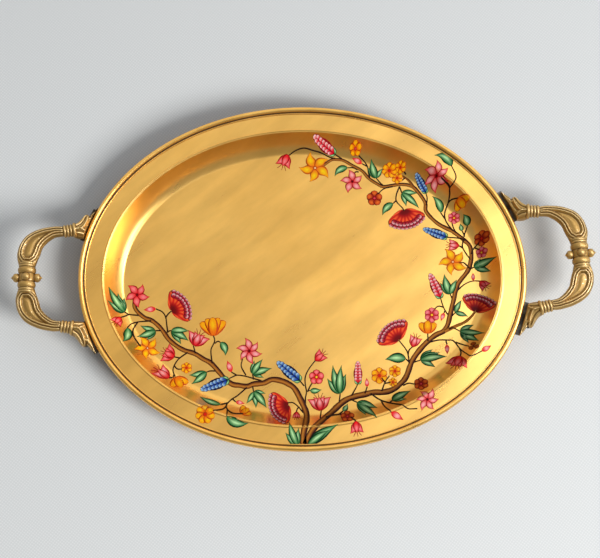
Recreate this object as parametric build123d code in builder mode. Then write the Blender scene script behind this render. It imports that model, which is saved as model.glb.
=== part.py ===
"""Oval brass serving tray with two cast scroll handles, in millimetres.

+Z is up, +X runs along the tray's long axis and the origin is the centre of the flat base, on the
surface the tray stands on. "Inset" is the distance inwards from the outer edge of the rim moulding.
Each piece that comes apart on a bench is a node of its own: the pressed pan, the drawn moulding that
hems its edge, two handle castings, four mounting plates brazed under the rim, and the screws of each
foot. A handle is drawn once, in a frame of its own: u points straight out of the rim, v runs along
the rim, z is the height above the table and v = 0 is the middle of the handle.
"""

import os
from math import atan2, cos, radians, sin

from build123d import *

# ------------------------------------------------------------------ driving dimensions
tray_length = 390.0  # over the rim moulding, along X
tray_width = 307.0  # over the rim moulding, along Y
rim_height = 21.0  # top face of the flat rim above the table
sheet = 1.2  # thickness of the brass sheet

edge_inset = 1.75  # the sheet's cut edge, hidden inside the moulding
band_inner_inset = 22.3  # where the flat rim ends and the cove begins
floor_inset = 38.5  # where the cove runs out into the flat floor
cove_power = 1.8  # how the cove steepens from the floor to the rim
cove_shares = (0, 0.15, 0.3, 0.45, 0.6, 0.75, 0.9, 1)  # shares of the cove's run at its sections
line_inset = 21.0  # fine raised line along the inner edge of the rim
line_radius = 0.9
line_rise = 0.45  # how far the raised line stands above the rim

bead_inset = 2.3  # rim moulding: the main round bead
bead_radius = 2.15
bead_height = rim_height + 0.6
reed_inset = 5.9  # thin reed between the bead's groove and the flat rim
reed_radius = 0.55
reed_height = rim_height + 0.4
web_thickness = 0.3  # floor of the groove between the bead and the reed
lip_inset = 1.0  # round lower lip that grips the sheet from outside
lip_radius = 1.0
lip_reach = 4.6  # how far the lower lip runs in under the sheet
moulding_bottom = rim_height - sheet - 0.9
slot_clearance = 0.05

right_bearing = 5.5  # the handles were fitted by hand: each one at its own bearing around the tray,
left_bearing = 181.4  # in degrees from +X
right_twist = 0.0  # how far each handle is turned away from square to the rim, in degrees
left_twist = -1.7
right_set_in = 1.0  # how far each handle sits in towards the tray; its feet are filed away to suit
left_set_in = 4.2
neck = (17.2, 42.0, 27.5)  # u, v, z of the grip's centre line where it leaves the neck rings
grip_middle = (47.5, 0.0, 30.0)  # u, v, z of the knop's centre
barrel_radius = 6.2
barrel_half_length = 12.5
bulge_offset = 6.5  # round bulge on each side of the knop
bulge_radius = 5.2
bulge_minor = 2.5
waist_offset = 10.4  # narrow ring where the scroll meets the bulge
waist_radius = 5.9
waist_minor = 1.3
knop_ball_radius = 3.8
knop_ball_side = 9.0
knop_ball_top = 5.6
knop_point_reach = 14.2
scroll_relief = 1.2  # depth of the sunk panel in each scroll

leaf_root = (7.7, 43.3, 27.2)  # u, v, z of the cuff where the leaf foot begins
cuff_radius = 4.8
cuff_minor = 1.7
ring_radius = 4.0
ring_minor = 1.35
ring_count = 3
ring_pitch = 2.75
right_leaf_gap = 2.8  # gap between the moulding and the leaf feet of each handle
left_leaf_gap = 0.6
fit_gap = 0.05  # clearance between faces that bear on each other

plate_thickness = 2.0
plate_top = moulding_bottom - fit_gap
right_plate_ledge = 4.6  # how far the plates of each handle reach out beyond the moulding
left_plate_ledge = 3.9
plate_turn = 23.5  # a plate's bearing, measured from the bearing of its handle
plate_half_length = 15.0
plate_inner_inset = 15.0
plate_seat_inset = 5.8  # raised seat, brazed to the underside of the flat rim
screw_points = ((1.2, 45.5), (-3.2, 54.0))  # u, v of the two screws of one foot
ear_radius = 4.3  # round ear of the plate under each screw

screw_radius = 2.0  # M4, its thread left plain
screw_hole_radius = 2.2
tapped_radius = 2.05
tapped_depth = 4.2
screw_reach = 3.8  # length of the screw inside the casting
screw_head_radius = 3.5
screw_head_height = 2.2
screw_slot_width = 1.0
screw_slot_depth = 1.0

# ------------------------------------------------------------------ derived values
half_length = tray_length / 2
half_width = tray_width / 2
rim_underside = rim_height - sheet
cove_run = floor_inset - band_inner_inset
cove_rise = rim_height - sheet
plate_bottom = plate_top - plate_thickness
leaf_bottom = plate_top + fit_gap

os.makedirs("parts", exist_ok=True)


def oval(inset):
    """Half axes of the oval that lies inset inwards from the tray's outer edge."""
    return half_length - inset, half_width - inset


def save(part, name):
    """Labels a finished piece and writes it as its own node."""
    part.label = name
    export_step(part, f"parts/{name}.step")


# ------------------------------------------------------------------ the pressed pan
def cove_section(share, thickness):
    """Inset and height of the cove at a share of its run, thickness outside its inner skin."""
    inset = floor_inset - (cove_run + thickness) * share
    height = sheet - thickness + cove_rise * share**cove_power
    return inset, height


with BuildPart() as tray_pan:
    for share in cove_shares:
        inset, height = cove_section(share, sheet)
        with BuildSketch(Plane.XY.offset(height)):
            Ellipse(*oval(inset))
    loft()
    with BuildSketch(Plane.XY.offset(rim_underside)):
        Ellipse(*oval(edge_inset))
    extrude(amount=sheet)
    for share in cove_shares:
        inset, height = cove_section(share, 0)
        with BuildSketch(Plane.XY.offset(height)):
            Ellipse(*oval(inset))
    loft(mode=Mode.SUBTRACT)
    with BuildLine() as line_path:
        EllipticalCenterArc((0, 0, rim_height + line_rise - line_radius), *oval(line_inset), arc_size=360)
    with BuildSketch(Plane(origin=line_path.line @ 0, x_dir=(1, 0, 0), z_dir=(0, -1, 0))):
        Circle(line_radius)
    sweep(path=line_path.line)
save(tray_pan.part, "tray_pan")

# ------------------------------------------------------------------ the drawn rim moulding
with BuildPart() as rim_moulding:
    with BuildLine() as rim_path:
        EllipticalCenterArc((0, 0, 0), half_length - bead_inset, half_width - bead_inset, arc_size=360)
    with BuildSketch(Plane(origin=rim_path.line @ 0, x_dir=(1, 0, 0), z_dir=(0, -1, 0))):
        with Locations((0, bead_height)):
            Circle(bead_radius)
        with Locations((bead_inset - reed_inset, reed_height)):
            Circle(reed_radius)
        with Locations((bead_inset - lip_inset, moulding_bottom + lip_radius)):
            Circle(lip_radius)
        with Locations((bead_inset - lip_inset, moulding_bottom)):
            Rectangle(
                bead_inset + 1.5 - lip_inset,
                bead_height - moulding_bottom,
                align=(Align.MAX, Align.MIN),
            )
            Rectangle(
                lip_reach - lip_inset,
                rim_underside - slot_clearance - moulding_bottom,
                align=(Align.MAX, Align.MIN),
            )
        with Locations((0, rim_height + slot_clearance)):
            Rectangle(
                reed_inset - bead_inset,
                web_thickness,
                align=(Align.MAX, Align.MIN),
            )
        with Locations((bead_inset - edge_inset + 0.1, rim_underside - slot_clearance)):
            Rectangle(
                2 * reed_inset,
                sheet + 2 * slot_clearance,
                align=(Align.MAX, Align.MIN),
                mode=Mode.SUBTRACT,
            )
    sweep(path=rim_path.line)
save(rim_moulding.part, "rim_moulding")

# ------------------------------------------------------------------ the handle casting
def handle_plane(bearing, twist=0.0, set_in=0.0):
    """Frame of a handle: its origin set in from the tray's outer edge, +X out of the rim."""
    turn = radians(bearing)
    along = atan2(half_width * sin(turn), half_length * cos(turn))
    outward = (cos(turn + radians(twist)), sin(turn + radians(twist)))
    origin = (
        half_length * cos(along) - set_in * outward[0],
        half_width * sin(along) - set_in * outward[1],
        0,
    )
    return Plane(origin=origin, x_dir=(*outward, 0), z_dir=(0, 0, 1))


def cross_plane(line, fraction, lift=0):
    """Plane square to a line at a fraction of its length, +X level and lift above the line."""
    tangent = line.tangent_at(fraction)
    origin = line.position_at(fraction) + Vector(0, 0, lift)
    return Plane(origin=origin, x_dir=Vector(0, 0, 1).cross(tangent), z_dir=tangent)


# fraction of the grip's length, half width, half thickness
scroll_sections = (
    (0.00, 4.3, 4.0),
    (0.18, 5.1, 4.4),
    (0.38, 7.3, 4.8),
    (0.56, 9.3, 5.1),
    (0.70, 10.0, 5.3),
    (0.82, 9.6, 5.5),
    (0.92, 8.3, 5.6),
    (1.00, 7.0, 5.6),
)
# fraction of the grip's length, half width of the sunk panel
panel_sections = (
    (0.20, 0.7),
    (0.38, 2.8),
    (0.56, 4.6),
    (0.70, 5.2),
    (0.80, 4.7),
    (0.86, 3.3),
    (0.89, 1.0),
)
# fraction of the leaf's length, half width, half thickness
leaf_sections = (
    (0.00, 5.6, 5.6),
    (0.25, 6.6, 4.9),
    (0.50, 5.6, 4.0),
    (0.78, 3.2, 2.9),
    (1.00, 0.8, 1.4),
)
side_leaf_sections = (
    (0.00, 3.2, 3.6),
    (0.45, 3.0, 3.4),
    (0.80, 2.2, 2.8),
    (1.00, 1.0, 1.6),
)

with BuildLine() as grip_line:
    Spline(neck, (25.5, 41.3, 28.0), (35.4, 37.0, 28.7), (43.2, 30.0, 29.4), (46.8, 20.0, 29.9), (47.5, 10.0, 30.0))
with BuildLine() as leaf_line:
    Spline(leaf_root, (2.6, 43.8, 25.3), (-1.6, 47.8, 23.2), (-5.8, 55.0, 21.4), (-11.8, 64.8, 20.3))
with BuildLine() as side_leaf_line:
    Spline((6.6, 44.8, 26.6), (3.4, 50.2, 25.0), (-1.2, 57.2, 22.6))

with BuildPart() as casting:
    for fraction, half_wide, half_thick in scroll_sections:
        with BuildSketch(cross_plane(grip_line.edge(), fraction)):
            RectangleRounded(2 * half_wide, 2 * half_thick, 0.85 * half_thick)
    loft()
    for fraction, half_wide in panel_sections:
        crown = 3.9 + 1.7 * fraction
        with BuildSketch(cross_plane(grip_line.edge(), fraction, crown)):
            Rectangle(2 * half_wide, 2 * scroll_relief)
    loft(mode=Mode.SUBTRACT)
    for fraction, half_wide, half_thick in leaf_sections:
        with BuildSketch(cross_plane(leaf_line.edge(), fraction)):
            Ellipse(half_wide, half_thick)
    loft()
    for fraction, half_wide, half_thick in side_leaf_sections:
        with BuildSketch(cross_plane(side_leaf_line.edge(), fraction)):
            Ellipse(half_wide, half_thick)
    loft()
    collar_axis = Vector(neck) - Vector(leaf_root)
    collar_length = collar_axis.length
    with Locations(Plane(origin=leaf_root, z_dir=collar_axis)):
        Cylinder(cuff_radius - 0.5, collar_length + 0.6, align=(Align.CENTER, Align.CENTER, Align.MIN))
        Torus(cuff_radius, cuff_minor)
    for ring in range(1, ring_count + 1):
        ring_centre = Vector(leaf_root) + collar_axis.normalized() * (ring * ring_pitch)
        with Locations(Plane(origin=ring_centre, z_dir=collar_axis)):
            Torus(ring_radius, ring_minor)
    for offset, radius, minor in (
        (bulge_offset, bulge_radius, bulge_minor),
        (waist_offset, waist_radius, waist_minor),
    ):
        with Locations(Plane(origin=(grip_middle[0], offset, grip_middle[2]), z_dir=(0, 1, 0))):
            Torus(radius, minor)
    with Locations(Plane(origin=grip_middle, z_dir=(0, 1, 0))):
        Cylinder(barrel_radius, barrel_half_length, align=(Align.CENTER, Align.CENTER, Align.MIN))
    mirror(about=Plane.XZ)
    for side in (-1, 1):
        with Locations((grip_middle[0] + side * knop_ball_side, 0, grip_middle[2])):
            Sphere(knop_ball_radius)
        with Locations((grip_middle[0], 0, grip_middle[2] + side * knop_ball_top)):
            Sphere(knop_ball_radius)
        with Locations(Plane(origin=grip_middle, z_dir=(side, 0, 0))):
            Cone(
                knop_ball_radius - 0.4,
                0.5,
                knop_point_reach - knop_ball_side,
                align=(Align.CENTER, Align.CENTER, Align.MIN),
            )
    with Locations((0, 0, leaf_bottom)):
        Box(200, 200, 40, align=(Align.CENTER, Align.CENTER, Align.MAX), mode=Mode.SUBTRACT)
    for u, v in screw_points:
        with Locations((u, v, leaf_bottom), (u, -v, leaf_bottom)):
            Cylinder(
                tapped_radius,
                tapped_depth,
                align=(Align.CENTER, Align.CENTER, Align.MIN),
                mode=Mode.SUBTRACT,
            )


def place_handle(plane, leaf_gap):
    """The casting on its plane, its leaf feet filed away to keep clear of the moulding."""
    with BuildPart() as handle:
        with Locations(plane):
            add(casting.part)
        with BuildSketch(Plane.XY):
            Ellipse(*oval(-leaf_gap))
        extrude(amount=2 * rim_height, mode=Mode.SUBTRACT)
    return handle


right_plane = handle_plane(right_bearing, right_twist, right_set_in)
left_plane = handle_plane(left_bearing, left_twist, left_set_in)
handle_right = place_handle(right_plane, right_leaf_gap)
handle_left = place_handle(left_plane, left_leaf_gap)
save(handle_right.part, "handle_right")
save(handle_left.part, "handle_left")


# ------------------------------------------------------------------ plates and screws
def make_plate(plane, bearing, ledge, side):
    """One mounting plate: a curved strip under the rim with a round ear below each screw."""
    ears = [plane.from_local_coords((u, side * v, 0)) for u, v in screw_points]
    strip = handle_plane(bearing + side * plate_turn)
    with BuildPart() as plate:
        with BuildSketch(Plane.XY.offset(plate_bottom)):
            Ellipse(*oval(-ledge))
            with Locations(*[(ear.X, ear.Y) for ear in ears]):
                Circle(ear_radius)
            Ellipse(*oval(plate_inner_inset), mode=Mode.SUBTRACT)
            with Locations(strip):
                Rectangle(90, 2 * plate_half_length, mode=Mode.INTERSECT)
        extrude(amount=plate_thickness)
        with BuildSketch(Plane.XY.offset(plate_top)):
            Ellipse(*oval(plate_seat_inset))
            Ellipse(*oval(plate_inner_inset), mode=Mode.SUBTRACT)
            with Locations(strip):
                Rectangle(90, 2 * plate_half_length, mode=Mode.INTERSECT)
        extrude(amount=rim_underside - fit_gap - plate_top)
        with Locations(*[(ear.X, ear.Y, plate_bottom) for ear in ears]):
            Cylinder(screw_hole_radius, 20, mode=Mode.SUBTRACT)
    return plate


def make_screws(plane, side):
    """The two slotted screws that hold one foot to its plate, driven from below."""
    points = [plane.from_local_coords((u, side * v, 0)) for u, v in screw_points]
    head_bottom = plate_bottom - fit_gap - screw_head_height
    shank_length = screw_head_height + fit_gap + (leaf_bottom - plate_bottom) + screw_reach
    with BuildPart() as screws:
        with Locations(*[(point.X, point.Y, head_bottom) for point in points]):
            Cylinder(
                screw_head_radius,
                screw_head_height,
                align=(Align.CENTER, Align.CENTER, Align.MIN),
            )
            Cylinder(
                screw_radius,
                shank_length,
                align=(Align.CENTER, Align.CENTER, Align.MIN),
            )
            Box(
                3 * screw_head_radius,
                screw_slot_width,
                2 * screw_slot_depth,
                mode=Mode.SUBTRACT,
            )
    return screws


for handle_name, plane, bearing, ledge, front_side in (
    ("right", right_plane, right_bearing, right_plate_ledge, -1),
    ("left", left_plane, left_bearing, left_plate_ledge, 1),
):
    for foot_name, side in (("front", front_side), ("back", -front_side)):
        save(make_plate(plane, bearing, ledge, side).part, f"plate_{handle_name}_{foot_name}")
        save(make_screws(plane, side).part, f"screws_{handle_name}_{foot_name}")
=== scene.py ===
"""Looks for the oval brass tray: satin sheet, polished moulding, sculpted cast handles, painted spray.

Lengths are millimetres unless a comment says otherwise; meshes are scaled to metres when they are made.
The tray has +X along its long axis and +Z up. "Inset" is the distance inwards from the outer edge of the
rim moulding. A handle is modelled in its own frame: u straight out of the rim, v along the rim and
counter-clockwise seen from above, then the height above the table. Painted motifs are laid out in "steps":
hundredths of the tray's half length, so the spray follows the tray's size.
"""

import math

import bpy
import numpy as np
from mathutils import Matrix, Vector


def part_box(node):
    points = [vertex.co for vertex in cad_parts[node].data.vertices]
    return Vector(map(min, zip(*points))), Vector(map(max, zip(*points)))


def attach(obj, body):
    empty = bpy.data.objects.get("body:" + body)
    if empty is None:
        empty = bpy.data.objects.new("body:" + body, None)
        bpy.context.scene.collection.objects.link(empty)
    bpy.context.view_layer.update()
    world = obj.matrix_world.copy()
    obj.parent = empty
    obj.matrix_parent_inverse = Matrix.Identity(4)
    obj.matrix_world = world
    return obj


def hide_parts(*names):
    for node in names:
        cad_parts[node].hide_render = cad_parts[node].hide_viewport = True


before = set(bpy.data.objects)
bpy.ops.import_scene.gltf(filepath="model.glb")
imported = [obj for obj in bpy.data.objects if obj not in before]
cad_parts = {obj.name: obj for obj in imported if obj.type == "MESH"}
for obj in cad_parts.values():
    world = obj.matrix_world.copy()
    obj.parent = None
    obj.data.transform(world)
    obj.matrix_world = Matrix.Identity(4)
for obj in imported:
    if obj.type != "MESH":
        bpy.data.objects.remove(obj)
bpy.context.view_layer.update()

MM = 0.001
rim_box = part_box("rim_moulding")
pan_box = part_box("tray_pan")
HALF_LENGTH = rim_box[1].x / MM
HALF_WIDTH = rim_box[1].y / MM
STEP = HALF_LENGTH / 100
SHEET = 1.2  # thickness of the pan
FLOOR_INSET = 38.5  # where the flat floor ends and the cove begins
FLOOR_RIPPLE = 0.07
COVE_POWER = 1.8  # how the cove steepens from the floor to the rim
BAND_INSET = 22.3  # where the cove ends and the flat rim begins
LINE_INSET = 21.0  # middle of the fine raised line on the rim
LINE_RADIUS = 0.9
LINE_RISE = 0.45
RIM_TOP = pan_box[1].z / MM - LINE_RISE
COVE_RISE = RIM_TOP - SHEET
EDGE_INSET = HALF_LENGTH - pan_box[1].x / MM
GROOVE = (4.3, 5.25)  # insets of the dark groove between bead and reed


# ------------------------------------------------------------------ small helpers
def make_object(name, points, faces, material=None, smooth=True):
    """A mesh object from points in millimetres."""
    mesh = bpy.data.meshes.new(name)
    mesh.from_pydata((np.asarray(points, float) * MM).tolist(), [], faces)
    mesh.validate()
    obj = bpy.data.objects.new(name, mesh)
    bpy.context.scene.collection.objects.link(obj)
    if material:
        mesh.materials.append(material)
    if smooth:
        mesh.shade_smooth()
    return obj


def hand_over(obj, replaced=None):
    """Makes an object a piece of the tray, in the place of a CAD node if one is named."""
    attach(obj, "root")
    if replaced:
        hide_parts(replaced)


def colour_points(obj, name, colours):
    """Stores one colour for every point of an object."""
    layer = obj.data.color_attributes.new(name, "FLOAT_COLOR", "POINT")
    layer.data.foreach_set("color", np.column_stack([colours, np.ones(len(colours))]).reshape(-1))


def read_off(rows, shares, column=1):
    """Reads a column of (share, value, ...) rows at other shares, straight between the rows."""
    table = np.array(rows, float)
    return np.interp(shares, table[:, 0], table[:, column])


def smoothstep(value, low, high):
    """Rises smoothly from 0 at low to 1 at high."""
    share = np.clip((value - low) / (high - low), 0, 1)
    return share * share * (3 - 2 * share)


def smooth_curve(points, count):
    """Catmull-Rom curve through the points, sampled evenly along its length."""
    knots = np.asarray(points, float)
    knots = np.vstack([2 * knots[0] - knots[1], knots, 2 * knots[-1] - knots[-2]])
    t = np.linspace(0, 1, 24, endpoint=False)[:, None]
    spans = []
    for a, b, c, d in zip(knots, knots[1:], knots[2:], knots[3:]):
        bend = (2 * a - 5 * b + 4 * c - d) * t**2 + (3 * b - a - 3 * c + d) * t**3
        spans.append(0.5 * (2 * b + (c - a) * t + bend))
    fine = np.vstack(spans + [knots[-2]])
    travelled = np.concatenate([[0], np.cumsum(np.linalg.norm(np.diff(fine, axis=0), axis=1))])
    wanted = np.linspace(0, travelled[-1], count)
    return np.stack([np.interp(wanted, travelled, column) for column in fine.T], axis=1)


def side_normals(heading):
    """Unit vectors in plan, square to each heading and on its left."""
    length = np.linalg.norm(heading, axis=1)[:, None]
    return np.stack([-heading[:, 1], heading[:, 0]], axis=1) / length


def ring_faces(rings, around, closed=False):
    """Quads between successive rings of points; closed joins the last ring to the first."""
    faces = []
    for r in range(rings if closed else rings - 1):
        low = r * around
        high = ((r + 1) % rings) * around
        for k in range(around):
            n = (k + 1) % around
            faces.append((low + k, low + n, high + n, high + k))
    return faces


def tube_faces(rings, around):
    """Faces of a tube of rings with both its ends closed."""
    faces = ring_faces(rings, around)
    faces.append(tuple(range(around))[::-1])
    faces.append(tuple((rings - 1) * around + k for k in range(around)))
    return faces


def slab_faces(rows, columns, start=0):
    """Faces of the closed slab between two grids of points, the upper grid first."""
    under = start + rows * columns
    faces = []
    for r in range(rows - 1):
        for c in range(columns - 1):
            a = r * columns + c
            quad = (a, a + 1, a + columns + 1, a + columns)
            faces.append(tuple(start + i for i in quad))
            faces.append(tuple(under + i for i in quad[::-1]))
    border = list(range(columns))
    border += [r * columns + columns - 1 for r in range(1, rows)]
    border += [(rows - 1) * columns + c for c in range(columns - 2, -1, -1)]
    border += [r * columns for r in range(rows - 2, 0, -1)]
    for a, b in zip(border, border[1:] + border[:1]):
        faces.append((start + b, start + a, under + a, under + b))
    return faces


# ------------------------------------------------------------------ the shape of the tray
def oval_inset(x, y):
    """Inset of the oval through each point, found by halving; its half axes are shorter by the inset."""
    low = np.full(np.shape(x), -20.0)
    high = np.full(np.shape(x), HALF_WIDTH - 1e-3)
    for _ in range(34):
        middle = (low + high) / 2
        outside = (x / (HALF_LENGTH - middle)) ** 2 + (y / (HALF_WIDTH - middle)) ** 2 > 1
        high = np.where(outside, middle, high)
        low = np.where(outside, low, middle)
    return (low + high) / 2


def floor_ripple(x, y):
    """Slight unevenness of the hand-flattened floor: waves that cross in four directions."""
    waves = ((0.062, 0.021, 0.4), (-0.034, 0.071, 1.9), (0.019, -0.055, 3.1), (0.088, 0.047, 5.2))
    total = sum(np.sin(kx * x + ky * y + phase) for kx, ky, phase in waves)
    return FLOOR_RIPPLE * total / len(waves)


def tray_height(x, y):
    """Height of the tray's upper face: floor, cove, flat rim and the fine raised line."""
    inset = oval_inset(x, y)
    share = np.clip((FLOOR_INSET - inset) / (FLOOR_INSET - BAND_INSET), 0, 1)
    height = np.where(inset < BAND_INSET, RIM_TOP, SHEET + COVE_RISE * share**COVE_POWER)
    line = LINE_RADIUS**2 - (inset - LINE_INSET) ** 2
    crown = RIM_TOP + LINE_RISE - LINE_RADIUS + np.sqrt(np.clip(line, 0, None))
    height = np.where((line > 0) & (inset < BAND_INSET), np.maximum(height, crown), height)
    return height + floor_ripple(x, y) * (1 - share) ** 2


def oval_ring(half_length, half_width, height, around):
    """Points of an oval ring."""
    angles = np.linspace(0, 2 * math.pi, around, endpoint=False)
    return [(half_length * math.cos(angle), half_width * math.sin(angle), height) for angle in angles]


def lathe(profile, around, closed):
    """Oval body through (inset, height) pairs; closed joins the last pair to the first."""
    points = []
    for inset, height in profile:
        points += oval_ring(HALF_LENGTH - inset, HALF_WIDTH - inset, height, around)
    return points, ring_faces(len(profile), around, closed)


def cove_profile(count, thickness):
    """(inset, height) pairs of the cove, thickness outside its inner skin, floor to rim."""
    run = FLOOR_INSET - BAND_INSET + thickness
    low = SHEET - thickness
    shares = [i / (count - 1) for i in range(count)]
    return [(FLOOR_INSET - run * share, low + COVE_RISE * share**COVE_POWER) for share in shares]


def fill_floor(points, faces, edge, around, level):
    """Closes the ring of points round the floor with ever smaller rings and a centre."""
    rings = 26
    half_length, half_width = HALF_LENGTH - FLOOR_INSET, HALF_WIDTH - FLOOR_INSET
    turn = -1 if level else 1
    for ring in range(1, rings):
        share = 1 - ring / rings
        inner = len(points)
        points += oval_ring(share * half_length, share * half_width, level, around)
        for k in range(around):
            n = (k + 1) % around
            faces.append((edge + k, edge + n, inner + n, inner + k)[::turn])
        edge = inner
    centre = len(points)
    points.append((0, 0, level))
    for k in range(around):
        faces.append((edge + k, edge + (k + 1) % around, centre)[::turn])


def build_pan(material):
    """The pressed sheet: floor, cove, rim with its raised line, and the underside."""
    around = 640
    top = cove_profile(40, 0)
    rounding = ((0.08, 0.22), (0.24, 0.06), (0.45, 0))  # where the cove turns into the rim
    top += [(BAND_INSET - outwards, RIM_TOP - below) for outwards, below in rounding]
    for degrees in range(150, 29, -12):
        angle = math.radians(degrees)
        crown = RIM_TOP + LINE_RISE - LINE_RADIUS + LINE_RADIUS * math.sin(angle)
        top.append((LINE_INSET - LINE_RADIUS * math.cos(angle), max(crown, RIM_TOP)))
    top += [(inset, RIM_TOP) for inset in np.linspace(LINE_INSET - 1.2, EDGE_INSET, 14)]
    bottom = [(inset, RIM_TOP - SHEET) for inset in np.linspace(EDGE_INSET, BAND_INSET - SHEET - 0.4, 8)]
    bottom += cove_profile(30, SHEET)[::-1]
    points, faces = lathe(top + bottom, around, closed=False)
    fill_floor(points, faces, 0, around, SHEET)
    fill_floor(points, faces, (len(top) + len(bottom) - 1) * around, around, 0.0)
    points = np.array(points)
    fade = np.clip(1 - (points[:, 2] - SHEET) / 6, 0, 1) * (points[:, 2] > 1e-6)
    points[:, 2] += floor_ripple(points[:, 0], points[:, 1]) * fade
    hand_over(make_object("pan_sheet", points, faces, material), "tray_pan")


def arc(inset, height, radius, start, end, count):
    """Points of an arc in the rim's cross-section; 0 degrees points inwards and 90 up."""
    angles = [math.radians(start + (end - start) * i / (count - 1)) for i in range(count)]
    return [(inset + radius * math.cos(angle), height + radius * math.sin(angle)) for angle in angles]


def build_moulding(material):
    """The rim moulding: round bead, groove, thin reed, and the lip that grips the sheet from below."""
    around = 900
    bottom = rim_box[0].z / MM
    play = 0.05  # between the sheet and the slot that holds it
    slot_low = RIM_TOP - SHEET - play
    slot_high = RIM_TOP + play
    # (inset, height) pairs: lower lip, bead, groove, reed, and back through the slot
    profile = [(4.6, bottom + 0.15), (4.4, bottom)]
    profile += arc(1.0, bottom + 1.0, 1.0, 270, 180, 10)
    profile += arc(2.3, RIM_TOP + 0.6, 2.15, 178, 14, 34)
    profile += [(4.42, RIM_TOP + 0.7), (4.5, RIM_TOP + 0.3), (5.2, RIM_TOP + 0.2), (5.3, RIM_TOP + 0.3)]
    profile += arc(5.9, RIM_TOP + 0.4, 0.55, 165, 0, 12)
    profile += [(6.42, slot_high), (1.66, slot_high), (1.66, slot_low), (4.6, slot_low)]
    profile = profile[::-1]
    moulding = make_object("moulding_bead", *lathe(profile, around, closed=True), material)
    # painted shade: points in the groove are marked so that the material darkens them
    groove_points_shaded = [float(GROOVE[0] < inset < GROOVE[1] and height > RIM_TOP) for inset, height in profile]
    colour_points(moulding, "groove_shade", np.repeat(groove_points_shaded, around)[:, None] * np.ones(3))
    hand_over(moulding, "rim_moulding")


# ------------------------------------------------------------------ the cast handles
NECK = (17.2, 42.0, 27.5)  # where the grip meets its neck rings
GRIP = (NECK, (25.5, 41.3, 28.0), (35.4, 37.0, 28.7), (43.2, 30.0, 29.4))
GRIP += ((46.8, 20.0, 29.9), (47.5, 10.0, 30.0))
KNOP = (47.5, 0.0, 30.0)
LEAF_ROOT = (7.7, 43.3, 27.2)  # where the leaf foot meets its neck rings
SCREW_MIDDLE = -1.0  # u of the point midway between the two screws of a foot
FOOT_BOTTOM = 18.9  # height of the underside of the feet
RIGHT_GAP = 2.8  # gap between the moulding and the feet of each handle
LEFT_GAP = 0.6
VOXEL = 0.27  # fineness of the skin of the casting

# balls of the knop: direction, how far out, radius, how far out its drawn-out point reaches
KNOP_BALLS = (((1, 0, 0), 9.0, 3.9, 14.2), ((-1, 0, 0), 9.0, 3.9, 14.0))
KNOP_BALLS += (((0, 0, 1), 5.6, 3.7, None), ((0, 0, -1), 5.6, 3.7, None))
# fraction of the grip's length, half width, half thickness
SCROLL = ((0, 4.3, 4.0), (0.18, 5.1, 4.4), (0.38, 7.3, 4.8), (0.56, 9.3, 5.1), (0.70, 10.0, 5.3))
SCROLL += ((0.82, 9.6, 5.5), (0.92, 8.3, 5.6), (1.0, 7.0, 5.6))
# fraction of the grip's length, half width of the sunk panel
PANEL = ((0.02, 0.2), (0.20, 0.6), (0.38, 2.3), (0.52, 3.9), (0.64, 5.0), (0.74, 5.2))
PANEL += ((0.82, 4.4), (0.87, 2.2))
# the two raised borders round the panel and their grooves: height, distance from its outline, width
BORDERS = ((0.70, 0.65, 0.5), (-0.75, 1.75, 0.42), (0.55, 2.85, 0.6), (-0.55, 4.1, 0.5))


def polyline_distance(points, line, closed=False):
    """Distance in plan from each point to a polyline."""
    line = np.asarray(line, float)
    ends = np.roll(line, -1, axis=0)
    if not closed:
        line, ends = line[:-1], line[1:]
    best = np.full(len(points), 1e9)
    for a, b in zip(line, ends):
        along = b - a
        share = np.clip(((points - a) @ along) / max(along @ along, 1e-9), 0, 1)
        best = np.minimum(best, np.linalg.norm(points - a - share[:, None] * along, axis=1))
    return best


def inside_polygon(points, polygon):
    """True for points in plan that lie inside the polygon."""
    inside = np.zeros(len(points), bool)
    for (ax, ay), (bx, by) in zip(polygon, np.roll(polygon, -1, axis=0)):
        crosses = (ay > points[:, 1]) != (by > points[:, 1])
        rise = by - ay if abs(by - ay) > 1e-12 else 1e-12
        inside ^= crosses & (points[:, 0] < ax + (points[:, 1] - ay) * (bx - ax) / rise)
    return inside


def ridge(distance, centre, width):
    """Smooth rounded ridge of height 1 at a distance from a line."""
    return np.exp(-(((distance - centre) / width) ** 2))


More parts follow.
